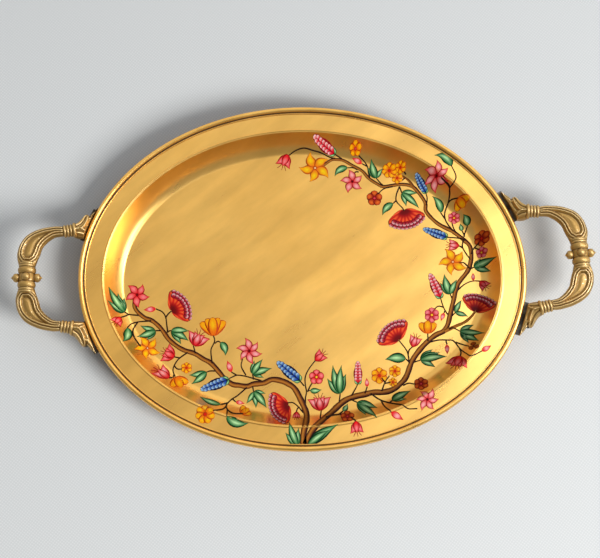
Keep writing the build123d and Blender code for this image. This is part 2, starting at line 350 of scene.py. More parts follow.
def build_scroll():
    """One half of the grip: the tapering scroll, with its sunk panel and two raised borders."""
    count, around = 360, 128
    line = smooth_curve(GRIP, count)
    fractions = np.linspace(0, 1, count)
    tangents = np.gradient(line, axis=0)
    tangents /= np.linalg.norm(tangents, axis=1)[:, None]
    across = np.cross((0, 0, 1), tangents)
    across /= np.linalg.norm(across, axis=1)[:, None]
    upward = np.cross(tangents, across)
    wide = read_off(SCROLL, fractions)
    thick = read_off(SCROLL, fractions, 2)
    angles = np.linspace(0, 2 * math.pi, around, endpoint=False)
    power = 0.82  # fuller than a circle
    cosines = np.sign(np.cos(angles)) * np.abs(np.cos(angles)) ** power
    sines = np.sign(np.sin(angles)) * np.abs(np.sin(angles)) ** power
    flat = (
        line[:, None, :]
        + across[:, None, :] * (wide[:, None] * cosines[None, :])[:, :, None]
        + upward[:, None, :] * (thick[:, None] * sines[None, :])[:, :, None]
    ).reshape(-1, 3)
    panel_share = np.linspace(PANEL[0][0], PANEL[-1][0], 60)
    panel_wide = read_off(PANEL, panel_share)[:, None]
    middle = np.stack([np.interp(panel_share, fractions, line[:, k]) for k in range(2)], axis=1)
    side = np.stack([np.interp(panel_share, fractions, across[:, k]) for k in range(2)], axis=1)
    outline = np.vstack([middle + side * panel_wide, (middle - side * panel_wide)[::-1]])
    gap = polyline_distance(flat[:, :2], outline, closed=True)
    gap = np.where(inside_polygon(flat[:, :2], outline), -gap, gap)
    relief = -1.5 * smoothstep(-gap, 0.0, 1.5) + 0.45 * smoothstep(-gap, 2.0, 4.6)
    for height, centre, width in BORDERS:
        relief += height * ridge(gap, centre, width)
    upper = np.tile(smoothstep(np.sin(angles), 0.05, 0.55), count)
    fade = np.repeat(smoothstep(fractions, 0.0, 0.03) * (1 - smoothstep(fractions, 0.95, 1.0)), around)
    flat[:, 2] += relief * upper * fade
    return flat, tube_faces(count, around)


def turned(profile, origin, direction, around=96):
    """A turned body: (distance along the axis, radius) pairs about an axis through origin."""
    axis = Vector(direction).normalized()
    first = axis.orthogonal().normalized()
    second = axis.cross(first)
    points = []
    for along, radius in profile:
        centre = Vector(origin) + axis * along
        for k in range(around):
            angle = 2 * math.pi * k / around
            points.append(tuple(centre + (first * math.cos(angle) + second * math.sin(angle)) * radius))
    return np.array(points), tube_faces(len(profile), around)


def lobed_profile(lobes, core_radius, start, end, count):
    """Profile of a turned body made of round lobes (centre, radius, half length) over a plain core."""
    pairs = []
    for along in np.linspace(start, end, count):
        radius = core_radius
        for centre, lobe_radius, half in lobes:
            share = (along - centre) / half
            if abs(share) < 1:
                swell = (lobe_radius - core_radius) * math.sqrt(1 - share * share)
                radius = max(radius, core_radius + swell)
        pairs.append((along, radius))
    return pairs


def build_neck():
    """The cuff and three rings round the neck."""
    axis = Vector(NECK) - Vector(LEAF_ROOT)
    cuff, pitch = (0.0, 6.7, 1.8), 2.75
    lobes = [cuff] + [(pitch * k + 0.15, 5.6, 1.3) for k in (1, 2, 3)]
    profile = lobed_profile(lobes, core_radius=4.0, start=-2.0, end=axis.length + 0.9, count=150)
    return turned(profile, LEAF_ROOT, axis)


def build_barrel():
    """The turned middle of the grip: knop core, bulges and waist rings, end to end."""
    lobes = [(0.0, 6.9, 3.8)]
    for side in (-1, 1):
        lobes += [(side * 6.4, 7.9, 2.9), (side * 10.4, 7.3, 1.3), (side * 12.4, 7.2, 1.1)]
    profile = lobed_profile(lobes, core_radius=6.2, start=-14.0, end=14.0, count=260)
    return turned(profile, KNOP, (0, 1, 0))


def build_knop_ball(direction, reach, radius, point):
    """One ball of the knop, drawn out to a point if it has one."""
    profile = []
    for i in range(41):
        angle = math.pi * i / 40
        profile.append((reach - radius * math.cos(angle), max(radius * math.sin(angle), 0.05)))
    if point:
        profile = [pair for pair in profile if pair[0] < reach + 0.55 * radius]
        start, wide = profile[-1]
        for i in range(1, 16):
            share = i / 15
            profile.append((start + (point - start) * share, max(wide * (1 - share) ** 1.5, 0.12)))
    return turned(profile, KNOP, direction, 64)


# edges of the leaf foot in plan, from its root to its tip
LEAF_INNER = ((7.5, 37.3), (2.5, 37.1), (-2.2, 37.9), (-4.3, 41.6), (-5.6, 46.0), (-7.3, 50.6), (-9.2, 55.0))
LEAF_INNER += ((-11.0, 59.6), (-13.0, 65.0))
LEAF_OUTER = ((8.3, 49.5), (6.0, 50.4), (3.6, 52.6), (1.4, 55.6), (-0.9, 58.3), (-3.2, 58.4), (-4.9, 57.3))
LEAF_OUTER += ((-8.4, 60.9), (-13.0, 65.0))
# share of the leaf's length, height of its crest
LEAF_TOP = ((0, 32.6), (0.15, 31.4), (0.35, 29.4), (0.55, 27.4), (0.75, 25.0), (0.9, 23.0), (1.0, 21.4))
# carved lines of the leaf: height, width, then the points in plan
LEAF_CARVING = (
    (0.95, 0.75, ((6.8, 43.6), (1.8, 44.4), (-0.6, 46.6), (-2.6, 51.0), (-3.9, 56.2))),
    (0.80, 0.70, ((2.0, 44.3), (-1.4, 42.6), (-3.4, 40.6))),
    (0.70, 0.60, ((-3.3, 41.2), (-5.2, 46.0), (-7.0, 50.8), (-9.0, 55.6), (-11.8, 62.6))),
    (0.85, 0.80, ((6.4, 48.2), (3.4, 51.0), (0.9, 54.6), (-1.2, 57.2))),
    (0.60, 0.60, ((-5.4, 57.2), (-8.6, 60.2), (-12.2, 64.2))),
    (-1.20, 0.75, ((5.6, 46.2), (2.2, 48.6), (-0.4, 52.4), (-2.4, 56.8))),
    (-1.30, 1.00, ((-1.8, 45.2), (-3.6, 48.4), (-5.2, 52.2))),
    (-0.90, 0.60, ((-4.2, 55.2), (-6.8, 57.4), (-10.2, 61.4))),
    (-0.85, 0.55, ((6.6, 41.6), (2.2, 41.7), (-1.2, 40.9))),
    (0.55, 0.55, ((6.6, 40.2), (2.4, 39.9), (-1.6, 39.2))),
    (-0.70, 0.50, ((6.4, 38.8), (2.6, 38.5), (-0.6, 38.2))),
    (-1.60, 0.70, ((-3.9, 58.9), (-4.7, 57.0), (-5.2, 55.6))),
)


def build_leaf():
    """The leaf foot: a block between the leaf's two edges with a domed, carved upper face."""
    along_count, across_count = 150, 90
    across = np.linspace(-1, 1, across_count)
    share = (across[None, :, None] + 1) / 2
    inner = smooth_curve(LEAF_INNER, along_count)[:, None, :]
    outer = smooth_curve(LEAF_OUTER, along_count)[:, None, :]
    flat = (inner * (1 - share) + outer * share).reshape(-1, 2)
    crest = read_off(LEAF_TOP, np.linspace(0, 1, along_count))
    edge_share = 0.34  # height of the leaf's edge as a share of its crest's
    edge = FOOT_BOTTOM + (crest - FOOT_BOTTOM) * edge_share
    dome = (1 - np.abs(across) ** 2.4) ** 0.55
    height = (edge[:, None] + (crest - edge)[:, None] * dome[None, :]).reshape(-1)
    for depth, width, line in LEAF_CARVING:
        height = height + depth * ridge(polyline_distance(flat, smooth_curve(line, 24)), 0, width)
    thinnest = 1.2
    height = np.maximum(height, FOOT_BOTTOM + thinnest)
    floor_level = FOOT_BOTTOM + 4.0 * smoothstep(flat[:, 0], 3.5, 8.0)  # rises towards the neck
    top = np.column_stack([flat, height])
    base = np.column_stack([flat, np.minimum(floor_level, height - 1.0)])
    return np.vstack([top, base]), slab_faces(along_count, across_count)


def mirrored(body):
    """The same body on the other side of the handle's middle."""
    points, faces = body
    return points * np.array((1, -1, 1)), [tuple(face[::-1]) for face in faces]


def build_casting():
    """Both halves of the casting melted into one skin, in the handle's own frame."""
    halves = [build_scroll(), build_neck(), build_leaf()]
    bodies = halves + [mirrored(body) for body in halves] + [build_barrel()]
    bodies += [build_knop_ball(*ball) for ball in KNOP_BALLS]
    faces = []
    start = 0
    for body_points, body_faces in bodies:
        faces += [tuple(start + i for i in face) for face in body_faces]
        start += len(body_points)
    casting = make_object("casting", np.vstack([body[0] for body in bodies]), faces)
    melt = casting.modifiers.new("melt", "REMESH")
    melt.mode = "VOXEL"
    melt.voxel_size = VOXEL * MM
    soften = casting.modifiers.new("soften", "SMOOTH")
    soften.factor = 0.5
    soften.iterations = 3
    graph = bpy.context.evaluated_depsgraph_get()
    mesh = bpy.data.meshes.new_from_object(casting.evaluated_get(graph))
    bpy.data.objects.remove(casting)
    mesh.shade_smooth()
    return mesh


def box_middle(node):
    """Middle of a CAD node's box, in metres."""
    low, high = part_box(node)
    return (low + high) / 2


def handle_frame(behind, ahead):
    """The handle's own frame, read off the screws of its two feet."""
    middle = (box_middle(ahead) + box_middle(behind)) / 2
    along = box_middle(ahead) - box_middle(behind)
    along.z = 0
    along.normalize()
    outward = along.cross(Vector((0, 0, 1)))
    origin = middle - outward * SCREW_MIDDLE * MM
    turn = Matrix(((outward.x, along.x, 0), (outward.y, along.y, 0), (0, 0, 1)))
    return Matrix.Translation((origin.x, origin.y, 0)) @ turn.to_4x4()


def file_feet(mesh, gap):
    """Files the feet of a handle away so that they keep a gap to the moulding."""
    places = np.empty(len(mesh.vertices) * 3)
    mesh.vertices.foreach_get("co", places)
    places = places.reshape(-1, 3)
    x, y = places[:, 0] / MM, places[:, 1] / MM
    stretch = np.sqrt((x / (HALF_LENGTH + gap)) ** 2 + (y / (HALF_WIDTH + gap)) ** 2)
    places[:, :2] /= np.where(stretch < 1, stretch, 1.0)[:, None]
    mesh.vertices.foreach_set("co", places.reshape(-1))
    mesh.update()


def build_handles(material):
    """The two castings on their CAD places."""
    casting = build_casting()
    for side, behind, ahead, gap in (
        ("right", "screws_right_front", "screws_right_back", RIGHT_GAP),
        ("left", "screws_left_back", "screws_left_front", LEFT_GAP),
    ):
        mesh = casting.copy()
        mesh.transform(handle_frame(behind, ahead))
        file_feet(mesh, gap)
        mesh.materials.append(material)
        handle = bpy.data.objects.new(f"cast_handle_{side}", mesh)
        bpy.context.scene.collection.objects.link(handle)
        hand_over(handle, f"handle_{side}")


# ------------------------------------------------------------------ materials
BRIGHT_BRASS = (0.97, 0.545, 0.115)
DULL_BRASS = (0.86, 0.46, 0.085)
# colour of the painted shade in the moulding's groove
GROOVE_SHADE = (0.16, 0.08, 0.022)
GREY_LOW, GREY_HIGH = 0.35, 0.65  # the middle range of a noise, where nearly all of it lies


class Pattern:
    """The node tree of a material or of the world, and the nodes that patterns are made of."""

    def __init__(self, owner):
        owner.use_nodes = True
        self.owner = owner
        self.tree = owner.node_tree
        self.places = self.tree.nodes.new("ShaderNodeTexCoord").outputs

    def fill(self, socket, value):
        """Links a value into a socket or sets it there."""
        if isinstance(value, bpy.types.NodeSocket):
            self.tree.links.new(value, socket)
        elif socket.type == "RGBA":
            socket.default_value = (*value, 1)
        else:
            socket.default_value = value

    def add(self, kind, values, **settings):
        """A new node with its settings made and the first of its open inputs filled, in order or by name."""
        node = self.tree.nodes.new(f"ShaderNode{kind}")
        for name, value in settings.items():
            setattr(node, name, value)
        sockets = [socket for socket in node.inputs if socket.enabled]
        if isinstance(values, dict):
            sockets = [node.inputs[name] for name in values]
            values = values.values()
        for socket, value in zip(sockets, values):
            self.fill(socket, value)
        return node.outputs

    def noise(self, scale, detail, stretch=1.0, turn=0.0):
        """Noise over the object's own coordinates, drawn out into streaks that are turned in plan."""
        streaks = {"Vector": self.places["Object"], "Rotation": (0, 0, math.radians(turn))}
        streaks["Scale"] = (1, 1 / stretch, 1)
        placed = self.add("Mapping", streaks, vector_type="TEXTURE")["Vector"]
        grain = {"Vector": placed, "Scale": scale, "Detail": detail, "Roughness": 0.6}
        return self.add("TexNoise", grain)["Fac"]

    def ramp(self, factor, low, low_colour, high, high_colour, middle=()):
        """Colour ramp between two positions, through a (position, colour) in the middle if given."""
        outputs = self.add("ValToRGB", {"Fac": factor})
        elements = outputs[0].node.color_ramp.elements
        for element, position, colour in zip(elements, (low, high), (low_colour, high_colour)):
            element.position = position
            element.color = (*colour, 1)
        if middle:
            elements.new(middle[0]).color = (*middle[1], 1)
        return outputs["Color"]

    def spread(self, value, low, high, new_low, new_high):
        """Maps a value from one range to another, clamped."""
        return self.add("MapRange", (value, low, high, new_low, new_high))["Result"]

    def tone(self, noise, new_low, new_high):
        """Maps the middle range of a noise to another range."""
        return self.spread(noise, GREY_LOW, GREY_HIGH, new_low, new_high)

    def mix(self, factor, first, second, blend="MIX"):
        """Mixes two colours by a factor."""
        outputs = self.add("Mix", (factor, first, second), data_type="RGBA", blend_type=blend)
        return next(output for output in outputs if output.enabled)

    def grey(self, value):
        """A grey colour of the given value."""
        return self.add("CombineColor", (value, value, value))["Color"]

    def relief(self, height, strength, depth_metres):
        """Normals of a fine relief."""
        return self.add("Bump", {"Height": height, "Strength": strength, "Distance": depth_metres})["Normal"]

    def product(self, first, second):
        """Two values multiplied."""
        return self.add("Math", (first, second), operation="MULTIPLY")["Value"]

    def shade(self, inputs):
        """Fills the inputs of a material's shader and returns the material."""
        for name, value in inputs.items():
            self.fill(self.tree.nodes["Principled BSDF"].inputs[name], value)
        return self.owner


def sheet_material(name):
    """Satin sheet brass: cloudy tone, wisps of diagonal polishing, fine scratches."""
    look = Pattern(bpy.data.materials.new(name))
    cloud = look.ramp(look.noise(9, 5), GREY_LOW, DULL_BRASS, GREY_HIGH, BRIGHT_BRASS)
    wisps = look.noise(8, 8, stretch=5, turn=38)
    scratches = look.noise(380, 4, stretch=9, turn=42)
    return look.shade({
        "Base Color": look.mix(1.0, cloud, look.grey(look.tone(wisps, 0.88, 1.04)), "MULTIPLY"),
        "Metallic": 1.0,
        "Roughness": look.tone(wisps, 0.27, 0.34),
        "Coat Weight": 0.5,
        "Coat Roughness": 0.26,
        "Normal": look.relief(scratches, 0.1, 0.00004),
    })


def moulding_material(name):
    """Polished brass wire, with painted shade darkening its groove."""
    look = Pattern(bpy.data.materials.new(name))
    groove_shade = look.add("VertexColor", (), layer_name="groove_shade")["Color"]
    cloud = look.noise(40, 5)
    brass = look.ramp(cloud, GREY_LOW, DULL_BRASS, GREY_HIGH, BRIGHT_BRASS)
    return look.shade({
        # painted shade: the groove is darkened and made rough
        "Base Color": look.mix(groove_shade, brass, GROOVE_SHADE),
        "Metallic": 1.0,
        "Roughness": look.mix(groove_shade, look.grey(look.tone(cloud, 0.26, 0.36)), (0.8, 0.8, 0.8)),
        "Coat Weight": 0.5,
        "Coat Roughness": 0.26,
        "Normal": look.relief(look.noise(500, 3), 0.02, 0.00004),
    })


def cast_material(name):
    """Dull cast brass: grainy skin, with painted shade darkening the recesses and a painted highlight
    lightening the raised edges, which are also less rough.
    """
    look = Pattern(bpy.data.materials.new(name))
    pointiness = look.add("NewGeometry", ())["Pointiness"]
    # pointiness, 0 in the recesses and 1 on the raised edges: painted shade in the recesses, a painted
    # highlight on the edges, and less roughness where the edges are rubbed
    wear_and_painted_light = look.spread(pointiness, 0.472, 0.545, 0.0, 1.0)
    cloud = look.ramp(look.noise(60, 6), 0.3, (0.46, 0.26, 0.06), 0.7, (0.66, 0.40, 0.10))
    recess_shade, edge_highlight = (0.04, 0.016, 0.003), (1.0, 0.74, 0.34)
    # from painted shade in the recesses through the brass tone to a painted highlight on the edges
    painted_light_and_shade = look.ramp(wear_and_painted_light, 0.0, recess_shade, 1.0, edge_highlight, (0.45, (0.44, 0.25, 0.055)))
    return look.shade({
        "Base Color": look.mix(0.8, cloud, painted_light_and_shade),
        "Metallic": 0.92,
        "Roughness": look.spread(wear_and_painted_light, 0.0, 1.0, 0.62, 0.34),
        "Coat Weight": 0.35,
        "Coat Roughness": 0.3,
        "Normal": look.relief(look.noise(900, 4), 0.35, 0.0001),
    })


def plate_material(name):
    """Near-black mounting plate."""
    look = Pattern(bpy.data.materials.new(name))
    cloud = look.noise(120, 6)
    return look.shade({
        "Base Color": look.ramp(cloud, GREY_LOW, (0.035, 0.028, 0.018), 0.7, (0.16, 0.14, 0.10)),
        "Metallic": 0.7,
        "Roughness": look.spread(cloud, 0.3, 0.7, 0.65, 0.4),
    })


def screw_material(name):
    """Turned screw heads, slightly cloudy."""
    look = Pattern(bpy.data.materials.new(name))
    cloud = look.noise(300, 5)
    return look.shade({
        "Base Color": look.ramp(cloud, 0.3, (0.42, 0.26, 0.08), 0.7, (0.66, 0.46, 0.18)),
        "Metallic": 1.0,
        "Roughness": look.spread(cloud, 0.3, 0.7, 0.28, 0.45),
    })


def paint_material(name):
    """Enamel paint: the brush colours of the mesh, slightly uneven, with a soft gloss."""
    look = Pattern(bpy.data.materials.new(name))
    brushed = look.add("VertexColor", (), layer_name="paint")["Color"]
    wear = look.noise(700, 4)
    shade = look.ramp(wear, 0.3, (0.86, 0.86, 0.86), 0.7, (1.0, 1.0, 1.0))
    return look.shade({
        "Base Color": look.mix(1.0, brushed, shade, "MULTIPLY"),
        "Roughness": 0.5,
        "Specular IOR Level": 0.08,
        "Normal": look.relief(wear, 0.15, 0.00005),
    })


# ------------------------------------------------------------------ paint
FILM = 0.06  # how far the first coat of a motif stands above the metal
COAT = 0.007  # each later coat lies this much higher
VINE_FILM, TWIG_FILM, STEM_FILM = 0.045, 0.05, 0.03  # the same for what lies under the flowers
ROOTED = 0.12  # how deep a film reaches into the sheet
ACROSS = np.array((-1, -0.8, -0.66, -0.33, 0, 0.33, 0.66, 0.8, 1))  # columns of points across a petal
ENAMEL = paint_material("enamel_paint")


def srgb(*levels):
    """A colour given in screen levels, 0 to 255, as scene values."""
    return np.array([((level / 255 + 0.055) / 1.055) ** 2.4 for level in levels])


def tints(*colours):
    """The tints of a petal: outline, base, heart, tip."""
    return tuple(srgb(*colour) for colour in colours)


INK = srgb(42, 22, 10)
OCHRE = srgb(190, 122, 42)
BARK = srgb(136, 76, 26)
SHADE = srgb(48, 16, 8)
FAN_DEEP, FAN_RED, FAN_ORANGE = srgb(112, 12, 10), srgb(204, 24, 22), srgb(250, 96, 44)
GOLD_EYE, RED_EYE, PALE_EYE = srgb(255, 200, 40), srgb(214, 30, 16), srgb(224, 60, 70)
LIGHT_EYE, DARK_EYE = srgb(240, 200, 150), srgb(60, 0, 8)
LEAF = tints((6, 34, 16), (20, 104, 46), (200, 248, 178), (22, 100, 46))
PINK = tints((150, 4, 10), (226, 18, 28), (255, 184, 182), (228, 10, 20))
RED = tints((150, 2, 8), (232, 16, 22), (255, 140, 140), (224, 8, 18))
YELLOW = tints((196, 84, 8), (242, 108, 20), (255, 214, 12), (250, 156, 16))
ORANGE = tints((190, 62, 6), (240, 110, 10), (255, 196, 16), (250, 156, 10))
EMBER = tints((112, 8, 6), (160, 22, 10), (240, 112, 34), (196, 52, 18))
CORAL = tints((160, 8, 22), (206, 24, 40), (250, 140, 146), (232, 84, 96))
RUST = tints((96, 30, 4), (140, 52, 8), (178, 82, 18), (150, 60, 10))
BLUE = tints((8, 16, 54), (20, 48, 136), (52, 104, 190), (170, 212, 242))
ROSE = tints((146, 6, 20), (222, 12, 36), (232, 48, 70), (254, 214, 214))
SCALLOP = tints((88, 4, 14), (150, 10, 28), (176, 20, 44), (255, 190, 194))
BUD = (RED[3], RED[1], PINK[2], RED[3])

# half width of a petal from its base to its tip, as a share of the greatest
LEAFY = ((0, 0.04), (0.06, 0.44), (0.16, 0.76), (0.3, 0.97), (0.42, 1), (0.58, 0.86), (0.74, 0.54))
LEAFY += ((0.88, 0.22), (1, 0.03))
STARRY = ((0, 0.3), (0.15, 0.58), (0.32, 0.92), (0.45, 1), (0.6, 0.82), (0.75, 0.48), (0.88, 0.2), (1, 0.03))
ROUND = ((0, 0.06), (0.06, 0.5), (0.18, 0.78), (0.4, 0.98), (0.6, 1), (0.78, 0.86), (0.9, 0.62))
ROUND += ((0.97, 0.35), (1, 0.08))
CUPPED = ((0, 0.3), (0.15, 0.72), (0.35, 1), (0.55, 0.95), (0.72, 0.66), (0.86, 0.3), (1, 0.04))
# radius of a fan against the angle from its middle, as a share of its height
FAN_EDGE = ((0, 1.0), (30, 1.04), (58, 1.13), (66, 1.04), (77, 0.62), (90, 0.34), (108, 0.10))
FAN_SPREAD = 108  # degrees each side that are painted
FAN_HALF = 58  # degrees each side that carry scallops
# scallops of a fan, outer row first: how many, where they begin and end along its rays
FAN_ROWS = ((10, 0.80, 1.02), (9, 0.60, 0.85))
# half width of a round petal of a rosette for its number of petals
ROSETTE_WIDTH = {3: 0.56, 5: 0.56, 6: 0.5, 7: 0.46}


def on_tray(plan):
    """Points on the tray's upper face below plan points in millimetres, and the normals there."""
    x, y = plan[..., 0], plan[..., 1]
    reach = 0.2
    slope_x = (tray_height(x + reach, y) - tray_height(x - reach, y)) / (2 * reach)
    slope_y = (tray_height(x, y + reach) - tray_height(x, y - reach)) / (2 * reach)
    normals = np.stack([-np.clip(slope_x, -4, 4), -np.clip(slope_y, -4, 4), np.ones(x.shape)], axis=-1)
    normals /= np.linalg.norm(normals, axis=-1)[..., None]
    return np.stack([x, y, tray_height(x, y)], axis=-1), normals


class Motif:
    """The coats of paint of one flower, leaf or group of stems, laid one over another."""

    def __init__(self, level=FILM):
        self.level = level
        self.points = []
        self.colours = []
        self.faces = []
        self.count = 0

    def lay(self, plan, colours):
        """One coat over a grid of plan points in steps (rows, columns, 2), with their colours."""
        middle = plan.shape[0] // 2
        across = plan[middle, 1] - plan[middle, 0]
        along = plan[middle, 0] - plan[middle - 1, 0]
        if across[0] * along[1] < across[1] * along[0]:
            plan, colours = plan[:, ::-1], colours[:, ::-1]
        surface, normals = on_tray(plan * STEP)
        steep = 1 + 2 * (1 - normals[..., 2:])
        self.points += [(surface + normals * self.level * steep).reshape(-1, 3)]
        self.points += [(surface - normals * ROOTED).reshape(-1, 3)]
        self.colours += [colours.reshape(-1, 3)] * 2
        self.faces += slab_faces(*plan.shape[:2], self.count)
        self.count += 2 * plan.shape[0] * plan.shape[1]
        self.level += COAT

    def finish(self, name):
        """Makes the motif an object that stays with the tray."""
        obj = make_object(name, np.vstack(self.points), self.faces, ENAMEL)
        colour_points(obj, "paint", np.vstack(self.colours))
        hand_over(obj)


def row_count(base, tip):
    """Rows of points along a petal: closer together where it crosses the step in the rim."""
    length = np.linalg.norm(np.subtract(tip, base)) * STEP
    ends = np.array([base, tip, np.add(base, tip) / 2]) * STEP
    near_step = oval_inset(ends[:, 0], ends[:, 1]) < BAND_INSET + 4
    return max(8, int(length / (0.45 if near_step.any() else 0.9)))


def petal(motif, base, tip, wide, bow=0.0, shape=LEAFY, tint=LEAF, heart=(0.48, 0.3, 0.34)):
    """One petal or leaf; wide is its half width and bow its sideways bend, both against its length.

    heart places the pale middle: where along the petal, how long, how wide.
    """
    base, along = np.array(base, float), np.subtract(tip, base)
    sideways = np.array((-along[1], along[0]))
    t = np.linspace(0, 1, row_count(base, tip))[:, None]
    middle = base + along * t + sideways * bow * 4 * t * (1 - t)
    left = side_normals(along + sideways * bow * 4 * (1 - 2 * t))
    half = read_off(shape, t[:, 0]) * wide * np.linalg.norm(along)
    s = ACROSS[None, :, None]
    plan = middle[:, None, :] + left[:, None, :] * half[:, None, None] * s
    t = t[:, :, None]
    outline, root, pale, end = tint
    tone = root + (end - root) * smoothstep(t, 0.35, 0.95)
    tone = tone + (pale - tone) * np.exp(-(((t - heart[0]) / heart[1]) ** 2) - (s / heart[2]) ** 2)
    border = np.maximum(smoothstep(np.abs(s), 0.66, 0.8), (t < 0.001) | (t > 0.999))
    motif.lay(plan, tone + (outline - tone) * border)


def dot(motif, centre, radius, colour):
    """Round dab of one colour."""
    start, end = np.add(centre, (-radius, 0)), np.add(centre, (radius, 0))
    petal(motif, start, end, 0.5, shape=ROUND, tint=(colour,) * 4)


def stroke(motif, points, start_half, end_half, tones=(INK, INK, INK)):
    """Brush stroke that tapers from its start to its end; tones run from its left side to its right."""
    length = sum(math.dist(a, b) for a, b in zip(points, points[1:]))
    line = smooth_curve(points, max(4, int(length * STEP / 0.8)))
    left = side_normals(np.gradient(line, axis=0))
    share = np.linspace(0, 1, len(line))
    knobs = 1 + 0.07 * np.sin(share * length * 0.9) * np.sin(share * length * 0.37)
    half = (start_half + (end_half - start_half) * share) * knobs
    across = np.linspace(1, -1, len(tones))
    plan = line[:, None, :] + left[:, None, :] * half[:, None, None] * across[None, :, None]
    motif.lay(plan, np.broadcast_to(np.array(tones)[None], (len(line), len(tones), 3)))


def turned_plan(vector, degrees):
    """A plan vector turned counter-clockwise."""
    c, s = math.cos(math.radians(degrees)), math.sin(math.radians(degrees))
    return np.array((vector[0] * c - vector[1] * s, vector[0] * s + vector[1] * c))


def star(motif, centre, tip, petals, tint, swirl):
    """Open flower with pointed, swirling petals; tip is the end of its first petal."""
    centre, reach = np.array(centre, float), np.subtract(tip, centre)
    wide = 0.32 if petals == 5 else 0.28
    for k in range(petals):
        arm = turned_plan(reach, 360 / petals * k) * (1 - 0.05 * (k % 3))
        petal(motif, centre + 0.04 * arm, centre + arm, wide, swirl, STARRY, tint, (0.5, 0.27, 0.62))
    size = np.linalg.norm(reach)
    dot(motif, centre, 0.13 * size, tint[0])
    dot(motif, centre, 0.06 * size, LIGHT_EYE if tint is YELLOW else DARK_EYE)


def rosette(motif, centre, radius, petals, tint, eye):
    """Small round-lobed flower."""
    centre = np.array(centre, float)
    for k in range(petals):
        arm = turned_plan((0, radius), 360 / petals * k)
        wide = ROSETTE_WIDTH[petals]
        petal(motif, centre + 0.12 * arm, centre + arm, wide, 0, ROUND, tint, (0.6, 0.26, 0.62))
    dot(motif, centre, 0.24 * radius, tint[0])
    dot(motif, centre, 0.15 * radius, eye)


def spike(motif, base, tip, tint):
    """Flower spike of overlapping scales that stand in pairs, in a small green calyx."""
    base, axis = np.array(base, float), np.subtract(tip, base)
    side = np.array((-axis[1], axis[0]))
    petal(motif, base, base + axis, 0.2, 0, CUPPED, (tint[0],) * 4)
    petal(motif, base + 0.74 * axis, base + 1.02 * axis, 0.36, 0, ROUND, tint, (0.45, 0.25, 0.5))
    for k in range(5, -1, -1):
        place = base + axis * (0.04 + 0.13 * k)
        spread = 0.135 - 0.011 * k
        for hand in (-1, 1):
            end = place + axis * 0.22 + side * spread * hand
            petal(motif, place + side * 0.02 * hand, end, 0.34, 0, ROUND, tint, (0.45, 0.22, 0.4))
    for hand in (-1, 1):
        petal(motif, base - 0.03 * axis, base + axis * 0.17 + side * 0.16 * hand, 0.2, 0.12 * hand)


def fan(motif, base, top):
    """Half-open shell flower: a dark heart with glowing ribs under two rows of scallops."""
    base, axis = np.array(base, float), np.subtract(top, base)
    side = np.array((-axis[1], axis[0]))
    ribs = 6  # ribs over the part with scallops
    angles = np.linspace(-FAN_SPREAD, FAN_SPREAD, 97)
    bearing = np.radians(angles)
    rays = np.cos(bearing)[:, None] * axis + np.sin(bearing)[:, None] * side
    depth = np.linspace(0.02, 0.97, 16)
    plan = base + rays[None] * (read_off(FAN_EDGE, np.abs(angles))[None, :] * depth[:, None])[:, :, None]
    rib = (0.5 + 0.5 * np.cos(bearing * ribs * 180 / FAN_HALF))[None, :, None]
    d = depth[:, None, None]
    tone = FAN_RED + (FAN_ORANGE - FAN_RED) * rib * smoothstep(d, 0.3, 0.55)
    tone = FAN_DEEP + (tone - FAN_DEEP) * smoothstep(d, 0.16, 0.5)
    border = np.maximum(smoothstep(np.abs(angles), 96, 104)[None, :, None], d > 0.93)
    motif.lay(plan, tone + (SCALLOP[0] - tone) * border)
    for count, low, high in FAN_ROWS:
        for k in range(count):
            angle = FAN_HALF * (2 * (k + 0.5) / count - 1)
            ray = turned_plan(axis, angle) * read_off(FAN_EDGE, abs(angle))
            petal(motif, base + low * ray, base + high * ray, 0.5, 0, ROUND, SCALLOP, (0.42, 0.26, 0.4))


def blossom(motif, base, tip, kind, tint):
    """Flower seen from the side: petals fanned out from its base, the outer ones behind."""
    petals, spread, wide, shape = kind
    base, axis = np.array(base, float), np.subtract(tip, base)
    if shape is CUPPED:
        for turn in (-14, 2, 16):
            bend, end = base + turned_plan(axis, turn * 0.6) * 0.9, base + turned_plan(axis, turn) * 1.22
            stroke(motif, (base + 0.5 * axis, bend, end), 0.2, 0.12, (RED[0],) * 3)
    for angle in sorted(np.linspace(-spread, spread, petals), key=abs, reverse=True):
        reach = 1.0 if shape is ROUND else 1.08 - 0.12 * math.cos(math.radians(3 * angle))
        end = base + turned_plan(axis, angle) * reach
        petal(motif, base, end, wide, -0.1 * np.sign(round(angle)), shape, tint, (0.58, 0.26, 0.5))


def bud(motif, base, tip):
    """Closed bud."""
    petal(motif, base, tip, 0.24, 0, LEAFY, BUD, (0.5, 0.2, 0.9))


def leaves(motif, base, tips):
    """Lobed leaf: leaflets spread from one base."""
    for tip in tips:
        petal(motif, base, tip, 0.2 if math.dist(base, tip) < 10 else 0.15, 0.04)


